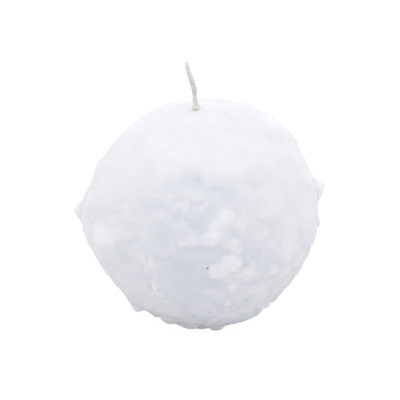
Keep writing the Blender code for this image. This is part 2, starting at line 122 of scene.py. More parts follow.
class Graph:
    """The nodes of one material or world."""

    def __init__(self, owner: bpy.types.ID) -> None:
        """Switches an owner's nodes on.

        Args:
            owner: a material or a world.
        """
        owner.use_nodes = True
        self.tree = owner.node_tree
        self.object_place: Wire | None = None

    def node(
        self, kind: str, settings: dict[str, Any] | None = None, inputs: dict[str, Any] | None = None
    ) -> bpy.types.Node:
        """Adds one node.

        Args:
            kind: the node's type.
            settings: its own properties, set first.
            inputs: values or wires for its sockets, by name or identifier.

        Returns:
            The new node.
        """
        made = self.tree.nodes.new(kind)
        for key, value in (settings or {}).items():
            setattr(made, key, value)
        self._fill(made, inputs or {})
        return made

    def dress(self, name: str, inputs: dict[str, Any]) -> None:
        """Gives values or wires to the sockets of a node that is there from the start."""
        self._fill(self.tree.nodes[name], inputs)

    def out(self, made: bpy.types.Node, key: str) -> Wire:
        """Returns one output of a node as a wire."""
        return Wire(self, self._socket(made.outputs, key))

    def feed(self, socket: bpy.types.NodeSocket, value: Any) -> None:
        """Links a wire to a socket, or sets the socket's own value."""
        if isinstance(value, Wire):
            self.tree.links.new(value.socket, socket)
        elif socket.type == "RGBA" and len(value) == 3:
            socket.default_value = (*value, 1.0)
        else:
            socket.default_value = value

    def maths(self, operation: str, first: Any, second: Any) -> Wire:
        """Adds a Math node and returns its result."""
        made = self.node("ShaderNodeMath", {"operation": operation})
        self.feed(made.inputs[0], first)
        self.feed(made.inputs[1], second)
        return self.out(made, "Value")

    def place(self) -> Wire:
        """Returns the object coordinates, in metres."""
        if self.object_place is None:
            self.object_place = self.out(self.node("ShaderNodeTexCoord"), "Object")
        return self.object_place

    def noise(self, texture: Texture, place: Wire | None = None) -> Wire:
        """Returns a noise's value at a place, or else at the object coordinates."""
        inputs = {"Scale": texture.scale, "Detail": texture.detail, "Roughness": texture.roughness}
        inputs["Vector"] = place or self.place()
        return self.out(self.node("ShaderNodeTexNoise", None, inputs), "Fac")

    def spread(self, value: Wire, band: tuple, to: tuple = (0.0, 1.0)) -> Wire:
        """Returns a value eased from one band of numbers to another, and kept inside the second."""
        ends = zip(("From Min", "From Max", "To Min", "To Max"), band + to)
        kind = {"interpolation_type": "SMOOTHSTEP"}
        made = self.node("ShaderNodeMapRange", kind, {"Value": value, **dict(ends)})
        return self.out(made, "Result")

    def mix(self, factor: Any, first: Any, second: Any) -> Wire:
        """Returns the colour between two colours."""
        inputs = {"Factor_Float": factor, "A_Color": first, "B_Color": second}
        return self.out(self.node("ShaderNodeMix", {"data_type": "RGBA"}, inputs), "Result_Color")

    def ramp(self, place: Wire, stops: tuple) -> Wire:
        """Returns the colour at a place along some stops, each a position and a colour."""
        made = self.node("ShaderNodeValToRGB", None, {"Fac": place})
        elements = made.color_ramp.elements
        while len(elements) < len(stops):
            elements.new(0.5)
        for element, (position, colour) in zip(elements, stops):
            element.position, element.color = position, (*colour, 1.0)
        return self.out(made, "Color")

    def near(self, point: Vector, inner: float, outer: float) -> Wire:
        """Returns 1 within a distance of a point, easing to 0 at a larger one."""
        made = self.node("ShaderNodeVectorMath", {"operation": "DISTANCE"})
        self.feed(made.inputs[0], self.place())
        self.feed(made.inputs[1], tuple(point))
        return self.spread(self.out(made, "Value"), (inner, outer), (1.0, 0.0))

    def bump(self, height: Wire, depth: float, strength: float, under: Wire | None = None) -> Wire:
        """Returns where the surface faces with a bump of a depth in metres, over another bump if any."""
        inputs = {"Height": height, "Distance": depth, "Strength": strength}
        if under is not None:
            inputs["Normal"] = under
        return self.out(self.node("ShaderNodeBump", None, inputs), "Normal")

    def _fill(self, made: bpy.types.Node, inputs: dict[str, Any]) -> None:
        """Feeds each of a node's named sockets."""
        for key, value in inputs.items():
            self.feed(self._socket(made.inputs, key), value)

    @staticmethod
    def _socket(sockets: Any, key: str) -> bpy.types.NodeSocket:
        """Returns the socket with an identifier or, failing that, a name."""
        for socket in sockets:
            if socket.identifier == key:
                return socket
        return sockets[key]


@dataclass(frozen=True)
class WaxFinish:
    """White paraffin wax: greyer and clearer where it is smooth, whiter where it is crumbled, with
    painted light on its lumps and painted shade in its dents, recesses and pinholes.
    """

    # the whiteness runs from the first colour to the second: the grey end stands for smooth wax and
    # painted shade, the white end for frosted wax and painted light
    smooth_and_shaded_colour: tuple = (0.700, 0.722, 0.775)
    frosted_and_lit_colour: tuple = (0.850, 0.866, 0.900)
    # the painted shade round the pinholes
    pinhole_shade_colour: tuple = (0.12, 0.11, 0.10)
    pinhole_shade_fade: tuple = (0.55, 1.15)  # where the painted shade round a pinhole starts and ends, in its radii
    roughness: tuple = (0.46, 0.68)  # of smooth wax and of frosted wax
    scatter_depth: float = 3.8 * MM
    cloud: Texture = Texture(48.0, 2.0, 0.5)
    blotch: Texture = Texture(125.0, 2.0, 0.5)
    mottle: Texture = Texture(260.0, 3.0, 0.6)
    grain: Texture = Texture(1500.0, 3.0, 0.7)
    unevenness: tuple = (0.45, 0.45, 0.25, 0.16)  # how far each of them varies the whiteness
    grain_gloss: float = 0.2  # how far the grain varies the roughness
    mottle_bump: tuple = (0.25 * MM, 0.6)  # depth and strength
    grain_bump: tuple = (0.06 * MM, 0.7)

    def build(self, shaded_pores: list[tuple[Vector, "Pore"]]) -> bpy.types.Material:
        """Makes the wax.

        Args:
            shaded_pores: the pores with painted shade round them, each with its place on the surface.

        Returns:
            The material.
        """
        material = bpy.data.materials.new("wax")
        graph = Graph(material)
        noises = [graph.noise(each) for each in (self.cloud, self.blotch, self.mottle, self.grain)]
        # the whiteness attribute holds frost, painted light on the lumps and painted shade in the dents
        # and recesses
        whiteness = graph.out(graph.node("ShaderNodeAttribute", {"attribute_name": "frost_and_shading"}), "Fac")
        for amount, value in zip(self.unevenness, noises):
            whiteness = whiteness + (value - 0.5) * amount
        whiteness = whiteness.clamped()
        mottle, grain = noises[2:]
        dark: Any = 0.0
        # paints shade round the pinholes
        for point, pore in shaded_pores:
            inner, outer = (fade * 0.5 * pore.shade_across * MM for fade in self.pinhole_shade_fade)
            dark = graph.near(point, inner, outer) * pore.darkness + dark
        colour = graph.mix(whiteness, self.smooth_and_shaded_colour, self.frosted_and_lit_colour)
        dullness = whiteness + (grain - 0.5) * self.grain_gloss
        graph.dress(
            "Principled BSDF",
            {
                "Base Color": graph.mix(dark.clamped(), colour, self.pinhole_shade_colour),
                "Roughness": graph.spread(dullness, (0.0, 1.0), self.roughness),
                "Subsurface Weight": 1.0,
                "Subsurface Radius": (1.0, 0.97, 0.94),
                "Subsurface Scale": self.scatter_depth,
                "IOR": 1.44,
                "Specular IOR Level": 0.5,
                "Normal": graph.bump(grain, *self.grain_bump, graph.bump(mottle, *self.mottle_bump)),
            },
        )
        return material


@dataclass(frozen=True)
class CottonFinish:
    """Undyed cotton soaked with wax: palest at its tip, greyest where it bends."""

    tip_height: float
    foot_height: float
    stops: tuple = (  # from the foot, at 0, to the tip, at 1
        (0.00, (0.93, 0.91, 0.87)),
        (0.18, (0.92, 0.90, 0.86)),
        (0.32, (0.84, 0.81, 0.78)),
        (0.50, (0.77, 0.74, 0.72)),
        (0.66, (0.84, 0.83, 0.78)),
        (0.84, (0.90, 0.90, 0.86)),
        (1.00, (0.97, 0.97, 0.96)),
    )
    soiled_colour: tuple = (0.30, 0.28, 0.25)
    soiling: float = 0.22
    fibres: Texture = Texture(9000.0, 3.0, 0.6)
    stains: Texture = Texture(700.0, 2.0, 0.5)
    noise_band: tuple = (0.3, 0.7)
    fibre_squeeze: tuple = (1.0, 1.0, 0.22)  # draws the fibres out along the wick
    fibre_bump: tuple = (0.05 * MM, 0.8)  # depth and strength
    stain_band: tuple = (0.2, 0.8)
    roughness: tuple = (0.62, 0.85)
    scatter_depth: float = 0.25 * MM

    def build(self) -> bpy.types.Material:
        """Makes the cotton.

        Returns:
            The material.
        """
        material = bpy.data.materials.new("cotton")
        graph = Graph(material)
        height = graph.out(graph.node("ShaderNodeSeparateXYZ", None, {"Vector": graph.place()}), "Z")
        heights = {"Value": height, "From Min": self.foot_height, "From Max": self.tip_height}
        along = graph.out(graph.node("ShaderNodeMapRange", None, heights), "Result")
        clean = graph.ramp(along, self.stops)
        soiled = graph.mix(self.soiling, clean, self.soiled_colour)
        squeeze = {"Vector": graph.place(), "Scale": self.fibre_squeeze}
        squeezed = graph.out(graph.node("ShaderNodeMapping", None, squeeze), "Vector")
        fibres = graph.noise(self.fibres, squeezed)
        stains = graph.noise(self.stains)
        shade = (graph.spread(fibres, self.noise_band) + graph.spread(stains, self.noise_band)) * 0.5
        graph.dress(
            "Principled BSDF",
            {
                "Base Color": graph.mix(shade, soiled, clean),
                "Roughness": graph.spread(stains, self.stain_band, self.roughness),
                "Subsurface Weight": 0.4,
                "Subsurface Radius": (1.0, 0.9, 0.8),
                "Subsurface Scale": self.scatter_depth,
                "Sheen Weight": 0.15,
                "Normal": graph.bump(fibres, *self.fibre_bump),
            },
        )
        return material


# ---- how the wax is worked

EDGE_BLEND = 0.6 * MM  # how softly one pat of wax runs into the next
PAT_REACH = 2.4  # a pat's flank is followed down to this many times its half-width
HOLLOW_FALL = 1.2  # how fast a hollow fades: by e to this power at its outline
MARK_LIMIT = 0.5  # cosine of the angle from its middle at which a mark ends
OUTLINE_WOBBLES = ((6.0, 0.020), (13.0, 0.018), (29.0, 0.011))  # frequency, share of the radius
WOBBLE_SEED = 2  # without a seed, this noise starts at another place on each run
LOW_RELIEF = ((3.0, 0.30 * MM), (7.0, 0.26 * MM), (17.0, 0.12 * MM))  # frequency, height
SMOOTH_LOW_RELIEF = 0.4  # the share of it that smooth wax has
FLAKE_EDGE = 14.0  # how crisply one flake gives way to the next
FLAKE_TILT = 1.3
FLAKE_DRAW = 61.7  # so many times its place, each flake draws its height and tilt
SMOOTH_CAP_FROM, ROUGH_BAND_FROM = 46.0, 22.0  # degrees of elevation
CAP_ROUGHNESS = 0.28
GOLDEN_ANGLE = 137.508  # degrees from one mark to the next along an even spiral


def towards(bearing: float, elevation: float) -> np.ndarray:
    """Returns the unit direction at a bearing and an elevation in degrees."""
    b, e = math.radians(bearing), math.radians(elevation)
    return np.array((math.sin(b) * math.cos(e), -math.cos(b) * math.cos(e), math.sin(e)))


@dataclass(frozen=True)
class Swell:
    """A broad, soft rise (or, below zero, a flattening) of the whole ball."""

    bearing: float  # degrees round the ball, 0 at the front (-Y) and 90 at the right (+X)
    elevation: float  # degrees above the ball's middle
    spread: float  # degrees
    rise: float  # mm

    def lay(self, relief: np.ndarray, directions: np.ndarray) -> None:
        """Adds the rise to the relief, in place."""
        turned = np.degrees(np.arccos(np.clip(directions @ towards(self.bearing, self.elevation), -1, 1)))
        relief += self.rise * MM * np.exp(-((turned / self.spread) ** 2))


@dataclass(frozen=True)
class Mark:
    """An oval place on the ball."""

    bearing: float
    elevation: float
    half_width: float  # mm
    half_height: float  # mm

    def places(self, directions: np.ndarray, turn: float = 0.0) -> tuple[np.ndarray, np.ndarray]:
        """Finds where directions lie in the oval.

        Args:
            directions: unit directions, one a row.
            turn: the oval's turn in degrees, counter-clockwise as seen from outside.

        Returns:
            Each direction's distance from the oval's middle, where 1 is its outline, and its place
            between the oval's lower edge (-1) and its upper edge (1).
        """
        out = towards(self.bearing, self.elevation)
        right = towards(self.bearing + 90.0, 0.0)
        up = np.cross(out, right)
        across, along = directions @ right, directions @ up
        angle = math.radians(turn)
        radius = BALL_RADIUS / MM
        x = (across * math.cos(angle) + along * math.sin(angle)) * radius / self.half_width
        y = (along * math.cos(angle) - across * math.sin(angle)) * radius / self.half_height
        distance = np.sqrt(x * x + y * y)
        distance[directions @ out < MARK_LIMIT] = np.inf
        return distance, y


@dataclass(frozen=True)
class Pat(Mark):
    """One pat of wax pressed on the ball, an oval with a wobbly outline."""

    rise: float  # mm above what it was pressed on
    turn: float = 0.0
    edge: float = 2.6  # 2 is a soft dome, 5 a flat pat with a steep edge
    droop: float = 0.0  # above 0 it is thicker at its lower edge

    def lay(self, relief: np.ndarray, directions: np.ndarray, share: float = 1.0) -> None:
        """Presses the pat on the relief, in place, seated on the mean height of what it covers."""
        distance, y = self.places(directions, self.turn)
        near = distance < PAT_REACH
        q, lean = distance[near], 1.0 - self.droop * np.clip(y[near], -1.0, 1.0)
        seat = relief[distance < 1.0].mean()
        height = seat + share * self.rise * MM * lean * (1.0 - q**self.edge)
        below = relief[near]
        mix = np.clip(0.5 + 0.5 * (height - below) / EDGE_BLEND, 0.0, 1.0)
        relief[near] = below + (height - below) * mix + EDGE_BLEND * mix * (1.0 - mix) * 0.5


@dataclass(frozen=True)
class Hollow(Mark):
    """A dent, groove or pore in the wax."""

    depth: float  # mm
    turn: float = 0.0

    def lay(self, relief: np.ndarray, directions: np.ndarray, share: float = 1.0) -> None:
        """Sinks the hollow into the relief, in place."""
        distance, _ = self.places(directions, self.turn)
        relief -= share * self.depth * MM * np.exp(-(distance**2) * HOLLOW_FALL)


@dataclass(frozen=True)
class Pore(Hollow):
    """A pinhole in the wax, which may have painted shade round it."""

    shade_across: float = 0.0  # mm across the painted shade round it
    darkness: float = 0.0  # how dark that painted shade is: 1 hides the wax


@dataclass(frozen=True)
class Bald(Mark):
    """A place where the wax is smooth."""

    share: float  # of the roughness that is rubbed away

    def lay(self, rough: np.ndarray, directions: np.ndarray) -> None:
        """Rubs roughness away, in place."""
        distance, _ = self.places(directions)
        rough *= 1.0 - self.share * np.exp(-(distance**4))


@dataclass(frozen=True)
class Tone(Mark):
    """A place where the wax is whiter (above zero) or greyer (below zero)."""

    amount: float
    turn: float = 0.0

    def lay(self, frost_and_shading: np.ndarray, directions: np.ndarray) -> None:
        """Adds the tone to the frost and painted shading, in place."""
        distance, _ = self.places(directions, self.turn)
        frost_and_shading += self.amount * np.exp(-(distance**4))


@dataclass(frozen=True)
class Scatter:
    """Marks spread evenly over the ball along a golden spiral, each then moved a little."""

    count: int
    seed: int
    half_widths: tuple  # mm
    flatness: tuple  # half-height as a share of half-width
    rises: tuple  # mm
    turn: float  # degrees either way
    jitter: tuple  # degrees either way, of bearing and of elevation

    def pats(self, draw: random.Random) -> Iterator[Pat]:
        """Draws the marks.

        Args:
            draw: the random numbers, from which the caller may draw more for each mark.

        Yields:
            Each mark, as a pat.
        """
        across, up = self.jitter
        for i in range(self.count):
            height = 1.0 - 2.0 * (i + 0.5) / self.count
            elevation = math.degrees(math.asin(height)) + draw.uniform(-up, up)
            bearing = (i * GOLDEN_ANGLE + draw.uniform(-across, across) + 180.0) % 360.0 - 180.0
            half_width = draw.uniform(*self.half_widths)
            half_height = half_width * draw.uniform(*self.flatness)
            rise = draw.uniform(*self.rises)
            turn = draw.uniform(-self.turn, self.turn)
            yield Pat(bearing, elevation, half_width, half_height, rise, turn)


class Gauge(Enum):
    """The layers of flakes that the surface breaks into, as a frequency and a height in mm."""

    BROAD = (7.0, 0.45)
    FINE = (14.0, 0.21)
    CRUMBLY = (27.0, 0.11)

    def heights(self, directions: np.ndarray) -> np.ndarray:
        """Makes one layer of small tilted flakes that run into each other.

        Args:
            directions: unit directions, one a row.

        Returns:
            The layer's height along each direction, in metres.
        """
        frequency, height = self.value
        heights = np.empty(len(directions))
        for i, direction in enumerate(directions):
            place = Vector(direction) * frequency
            distances, seeds = noise.voronoi(place)
            total = weight = 0.0
            for distance, seed in zip(distances, seeds):
                near = math.exp(-FLAKE_EDGE * (distance - distances[0]))
                own = noise.cell_vector(seed * FLAKE_DRAW)
                tilt = Vector((own[1] - 0.5, own[2] - 0.5, own[0] - 0.2))
                crown = 0.5 * distance * distance
                total += near * (own[0] - 0.5 + FLAKE_TILT * tilt.dot(place - seed) - crown)
                weight += near
            heights[i] = total / weight
        return heights * height * MM


SWELLS = (
    # the shoulders: full at the right, flatter at the left with a corner below it
    Swell(116, 54, 23, 1.6),
    Swell(97, 28, 8, -1.9),
    Swell(-105, 39, 12, -4.9),
    Swell(-97, 26, 8, 1.15),
    Swell(-100, 28, 4.5, 1),
    # the cap, which dips behind the wick
    Swell(-130, 64, 18, 0.75),
    Swell(178, 69, 14, -2.1),
    Swell(8, 84, 14, -0.85),
    # the left lug on its broad root, and the long flat side below it
    Swell(-81, -4, 10, 0.85),
    Swell(-88, 3, 5.2, 4),
    Swell(-89, 6.6, 2.8, 0.8),
    Swell(-70, -31, 15, -1.5),
    # the underside, which tucks in most at the right
    Swell(-30, -58, 24, -1.5),
    Swell(64, -38, 26, -1.9),
    Swell(77, -20, 17, -0.8),
    Swell(60, -43, 8, -0.8),
    Swell(-48, -53, 7, -1.1),
    Swell(44, -54, 10, 0.7),
    Swell(20, -60, 20, -0.5),
    # the right lug's root, and the notch below it
    Swell(91, 11, 6, 0.9),
    Swell(86, 2, 4, -0.6),
    # the bald hollow at the front
    Swell(-9, -9, 15, -0.9),
    # soft bulges between it and the left lug
    Swell(-59, 2, 8, 1),
    Swell(-45, 5, 6, 0.45),
    Swell(-44, -8, 6, 0.3),
    Swell(-58, -14, 7, 0.35),
    # small corners of the outline, from the lower left round to the right shoulder
    Swell(-57, -45, 5, 0.95),
    Swell(-73, -24, 12, 0.4),
    Swell(-92, 14, 5, -0.9),
    Swell(-146, 69, 8, 0.25),
    Swell(68, -35, 6, 0.55),
    Swell(101, 36, 6, 0.8),
    # the back
    Swell(170, 20, 34, 0.8),
    Swell(-140, -10, 24, -0.6),
    Swell(150, -40, 26, -1.2),
)

LUGS = (
    Pat(-84, 3.6, 6.4, 5.4, 0.5, 12, 2),
    Pat(91, 14.2, 4.8, 4, 2.15, -8, 2),
    Pat(92, 14.4, 2.4, 2, 1.2, 0, 2),
    Pat(85.5, -0.8, 1.6, 1.6, 1.2, 0, 2.2),
)

FRONT_PATS = (
    # the smooth cap, laid over the front in broad sheets with thick lower edges
    Pat(-8, 58, 15, 9, 0.3, 0, 3, 0.9),
    Pat(24, 49, 10, 8, 0.3, -24, 3, 0.9),
    Pat(-38, 40, 12, 9.5, 0.3, 14, 3, 0.7),
    Pat(46, 30, 9.5, 7.5, 0.3, -10, 3, 0.7),
    Pat(63, 12, 6.6, 9, 0.45, -6, 2.2),
    Pat(36, 21.5, 6.4, 3.2, 0.25, -14, 2.4, 0.5),
    # the chain of lumps that slants down from the right of the middle
    Pat(17, 17.4, 2.8, 1.6, 0.2, 0, 2.8, 0.2),
    Pat(8.8, 17.3, 3.3, 2.7, 0.42, 0, 3.4, 0.1),
    Pat(11.2, 20.6, 2.8, 2.4, 0.36, 0, 3.2, 0.1),
    Pat(4.2, 11.8, 3.1, 2.8, 0.55, 20, 3.4, 0.3),
    # the lumpy band left of the middle, with a ridge as its lower border
    Pat(-22.5, 19.8, 3.2, 2.2, 0.3, 28, 2.6, 0.2),
    Pat(-2.7, 30.8, 2.1, 1.8, 0.3, 0, 2.6, 0.2),
    Pat(-1.6, 25.9, 2.2, 1.4, 0.15),
    Pat(-11.4, 26.4, 2.8, 2, 0.25),
    Pat(-10.7, 17.5, 1.8, 1.5, 0.2),
    Pat(-28.6, 11, 3.4, 2.4, 0.3, 12, 2.4, 0.2),
    Pat(-8.5, 9, 4.4, 2.3, 0.34, 6, 2.8, 0.4),
    Pat(-2.5, 10.6, 3, 2, 0.34, 10, 2.8, 0.4),
    Pat(-16.5, 5.2, 3.4, 2, 0.4, 22, 3, 0.4),
    Pat(-24, 3.5, 3.6, 2.4, 0.35, 26, 2.8, 0.3),
    Pat(-32.6, -0.7, 3, 2.4, 0.3, 0, 2.4, 0.2),
    Pat(-24.8, -3.6, 1.6, 2.6, 0.25, 0, 2.6),
    Pat(-23.4, -9.5, 1.2, 2.4, 0.2, -6, 2.6),
    # the broad bulge under the left lug, which overhangs a little
    Pat(-52, 3.5, 11, 3.9, 0.55, 24, 3.4, 0.7),
    # the ridge that edges the bald hollow on its left
    Pat(-24.9, -16.4, 1, 2.4, 0.5, -3, 3),
    Pat(-23.8, -22.6, 1.2, 1.9, 0.3, 30, 2.8),
    Pat(-34, -17, 3.6, 4, 0.35, 0, 2.4),
    # crisp lumps right of the bald hollow
    Pat(7.2, -5, 3.2, 2.7, 0.52, 0, 3.4, 0.2),
    Pat(13.6, -1.4, 3.5, 3.1, 0.6, 12, 3.8, 0.1),
    Pat(14.1, 7.8, 1.9, 1.8, 0.3),
    Pat(16.6, 4.9, 1.9, 1.6, 0.3),
    Pat(23.3, -8, 3.4, 2, 0.22, -4, 2.8, 0.3),
    Pat(36, -10, 2.2, 2, 0.5, 12, 2.8),
    Pat(27.8, -20, 3.6, 2, 0.45, -4, 2.8, 0.4),
    Pat(14.7, -15.7, 1.9, 2.1, 0.6),
    Pat(13.2, -25.5, 1.1, 2, 0.5),
    Pat(9, -21, 1.5, 3, 0.25),
    Pat(30, -28, 3.8, 2.6, 0.5, -12, 2.8, 0.4),
    Pat(29.5, 10.3, 2.9, 1.4, 0.35),
    Pat(34.3, 3.8, 1.8, 1.4, 0.4, 0, 2.8, 0.3),
    Pat(45, -0.5, 4, 5.4, 0.5, -6, 2.4, 0.2),
    Pat(44, -14, 3.8, 2.8, 0.35, 12, 2.8, 0.3),
    Pat(58, -12, 4.4, 3.4, 0.5, -8, 2.6, 0.3),
    # the ragged fringe over the underside
    Pat(-57, -46, 3, 2, 1.2, 12, 3.2, 0.5),
    Pat(-29, -50, 3.2, 2.2, 1, 8, 3.2, 0.6),
    Pat(-14, -56, 3.8, 2.4, 1.2, 0, 3.2, 0.6),
    Pat(0, -60, 3.6, 2.4, 1, 0, 3.2, 0.6),
    Pat(15, -59, 3.2, 2.2, 1.3, -6, 3.2, 0.6),
    Pat(37, -49, 3, 2.2, 0.6, -8, 3.2, 0.6),
    Pat(47, -40, 3, 2, 0.9, -14, 3.2, 0.5),
)

HOLLOWS = (
    # bays in the fringe over the underside
    Hollow(-52, -55, 4.4, 2.8, 2.8),
    Hollow(33, -59, 3, 2, 0.5),
    # recesses under the lower edge of the cap
    Hollow(-7.5, 40.3, 3.6, 3, 0.5),
    Hollow(-3.2, 38.3, 1.5, 2.4, 0.25),
    Hollow(10.5, 33.2, 5, 2.6, 0.35, -6),
    # dents between the lumps of the rough band
    Hollow(-1.6, 27.6, 1.8, 0.6, 0.15),
    Hollow(-13.2, 20.3, 3.6, 1.9, 0.2, -8),
    Hollow(-1.6, 18, 2.6, 3.4, 0.22),
    Hollow(5.6, 24.9, 2.6, 2, 0.2, 20),
    Hollow(14.2, 13, 2.6, 1.8, 0.15),
    Hollow(-64, 9.5, 5.4, 3, 0.4, 10),
    Hollow(-48, -7.5, 7.5, 3.2, 0.45, 22),
    Hollow(29, 16.8, 3.8, 1.2, 0.2, -12),
    Hollow(38, 13.4, 3.4, 1.2, 0.12, -14),
    Hollow(54, 4, 1.1, 3.4, 0.3, -8),
    Hollow(23.4, -14, 3.6, 0.9, 0.3, -2),
    Hollow(33.5, -14.2, 1.4, 0.8, 0.35),
    Hollow(4.8, -13, 2.6, 2.2, 0.35),
    Hollow(21, -4.2, 2, 0.7, 0.2),
    Hollow(25, -27, 2.4, 1.6, 0.3),
    # valleys in the cap, the first behind the wick
    Hollow(-177, 72, 2.4, 5, 0.8),
    Hollow(103, 60, 1.6, 6, 0.45, 30),
    Hollow(41, 69, 3.4, 2, 0.2),
    Hollow(-58, 48, 3.6, 2.4, 0.25),
    Hollow(41, 38, 3.6, 1.6, 0.25),
    Hollow(-14, 52, 2, 1.2, 0.2),
)

BALD_PLACES = (
    Bald(-9, -8, 8.5, 9.5, 0.85),
    Bald(-24, 14, 9, 9, 0.5),
    Bald(-43, -2, 9, 9, 0.7),
    Bald(6, 17, 11, 9, 0.4),
    Bald(4, 36, 12, 8, 0.6),
    Bald(38, 2, 9, 9, 0.5),
    Bald(62, -24, 9, 8, 0.6),
    Bald(-86, 3, 8, 7, 0.6),
    Bald(-72, 24, 17, 14, 0.8),
    Bald(-100, 27, 11, 11, 0.85),
    Bald(-62, -8, 11, 9, 0.5),
    Bald(66, 12, 7, 9, 0.7),
    Bald(44, 22, 11, 8, 0.7),
    Bald(-45, -34, 12, 6, 0.5),
    Bald(128, -12, 9, 7, 0.6),
    Bald(172, -22, 11, 8, 0.65),
    Bald(148, 20, 8, 7, 0.5),
    Bald(-128, 8, 8, 9, 0.6),
)

# the last two numbers of a pore, where given, size and darken the painted shade round it
PORES = (
    Pore(2, -4, 0.34, 0.42, 0.7, 0, 0.62, 0.95),
    Pore(-12, 29, 0.3, 0.3, 0.35, 0, 0.4, 0.3),
    Pore(-8, 13.5, 0.8, 0.25, 0.25, -45),
    Pore(39, -30.5, 0.3, 0.3, 0.35, 0, 0.36, 0.3),
    Pore(-23, 53, 0.3, 0.3, 0.2, 0, 0.3, 0.12),
    Pore(34, 13, 0.35, 0.25, 0.3, 0, 0.3, 0.06),
    Pore(112, 6, 0.4, 0.4, 0.5),
    Pore(-141, -16, 0.35, 0.4, 0.5, 0, 0.4, 0.35),
    Pore(171, 31, 0.3, 0.35, 0.4, 0, 0.4, 0.3),
)

TONES = (
    # frosted lumps, whiter also as painted light where they face the light
    Tone(11.8, 21, 2.5, 2.3, 0.15),
    Tone(8, 17.2, 3.2, 2.7, 0.25),
    Tone(17.6, 17.8, 2.6, 1.6, 0.15),
    Tone(4.2, 11.8, 3.2, 2.9, 0.29, 25),
    Tone(13.6, -1.3, 3.5, 3.1, 0.38, 12),
    Tone(7.2, -5, 3.1, 2.7, 0.24),
    Tone(14.1, 7.8, 1.8, 1.7, 0.16),
    Tone(16.6, 4.9, 1.5, 1.4, 0.16),
    Tone(23, -8.1, 3.4, 1.8, 0.16, -4),
    Tone(36, -10, 2.2, 2, 0.16, 12),
    Tone(14.7, -15.7, 1.9, 2.1, 0.24),
    Tone(13.2, -25.5, 1.1, 2, 0.2),
    Tone(27.8, -20, 3.4, 2, 0.1, -4),
    Tone(-22.5, 20, 3.2, 1.9, 0.18, 28),
    Tone(-28.6, 11, 3, 2, 0.16, 12),
    Tone(-1.6, 25.9, 2, 1, 0.12),
    Tone(-2.7, 30.8, 1.9, 1.5, 0.12),
    Tone(-11.4, 26.4, 2.6, 1.6, 0.12),
    Tone(-10.7, 17.5, 1.8, 1.4, 0.12),
    Tone(-8.9, 9.2, 3.6, 2, 0.1, 6),
    Tone(-3, 10.6, 2.4, 1.7, 0.07, 10),
    Tone(-16.5, 4.9, 2.4, 1.4, 0.14, 22),
    Tone(-24.8, -3.6, 1.3, 2.3, 0.12),
    Tone(-24.9, -16.4, 0.9, 2.6, 0.4, -3),
    Tone(-23.8, -22.8, 1, 2.4, 0.2, 30),
    Tone(34, 20.6, 4, 2, 0.06, -12),
    Tone(34.3, 3.8, 1.8, 1.4, 0.12),
    Tone(29.5, 10.2, 3, 1.2, 0.1),
    Tone(45, 0, 3.6, 5, 0.12, -6),
    Tone(-58, 1, 5, 4, 0.12),
    Tone(-51, 4, 8, 3.4, 0.14, 24),
    # painted shade in the recesses and dents, where the wax is also clearer
    Tone(-8.5, 40, 3.8, 3.4, -0.26),
    Tone(-3.2, 38.4, 1.9, 2.9, -0.26),
    Tone(10.5, 32.6, 5.8, 3, -0.21, -4),
    Tone(5.5, 38, 5.5, 3, -0.14),
    Tone(-1.6, 27.6, 1.8, 0.6, -0.12),
    Tone(-13.2, 20.4, 3.4, 1.6, -0.14, -8),
    Tone(-1.4, 18, 2.3, 3.4, -0.12),
    Tone(5.6, 24.7, 2.4, 1.9, -0.14, 20),
    Tone(13.9, 13.6, 2.4, 1.7, -0.08),
    Tone(1, 7.6, 2.8, 1.1, -0.1),
    Tone(4.8, -12.8, 2.6, 2.2, -0.16),
    Tone(23.4, -13.9, 3.6, 1, -0.15, -2),
    Tone(33.5, -14.2, 1.6, 0.9, -0.14),
    Tone(21, -4.2, 2.4, 0.8, -0.08),
    Tone(12.1, 4.6, 1.4, 0.9, -0.12),
    Tone(25, -27, 2.4, 1.6, -0.12),
    Tone(37, 13.6, 4.8, 1.4, -0.08, -14),
    Tone(-23.6, 25, 3.4, 0.8, -0.12),
    Tone(-64, 9.5, 6, 3.4, -0.3, 8),
    Tone(-76, 7.5, 5, 2.4, -0.18, 10),
    Tone(-48, -8.8, 8.5, 4, -0.24, 20),
    Tone(-33, -15, 2.4, 4.5, -0.1),
    Tone(31.8, 33.8, 1.8, 1.6, -0.12),
    Tone(-8, -8, 9.5, 10, -0.26),
    # broad clouds
    Tone(-64, 0, 13, 9.5, 0.32),
    Tone(-26, 49, 10, 8, 0.26, 6),
    Tone(-30, -38, 8, 4.5, 0.28, 6),
    Tone(-46, -47, 5, 2.6, 0.3),
    Tone(36, -40, 8, 5, 0.16, -10),
    Tone(47, 5, 7, 9, 0.12),
    Tone(-50, 26, 12, 9, 0.16),
    Tone(14, 44, 9, 3, 0.14),
    Tone(0, 45, 15, 8, 0.15),
    Tone(64, 6, 6, 9, 0.12),
    Tone(45, 22, 13, 9, 0.1),
    Tone(14, 25, 12, 5, 0.08),
)


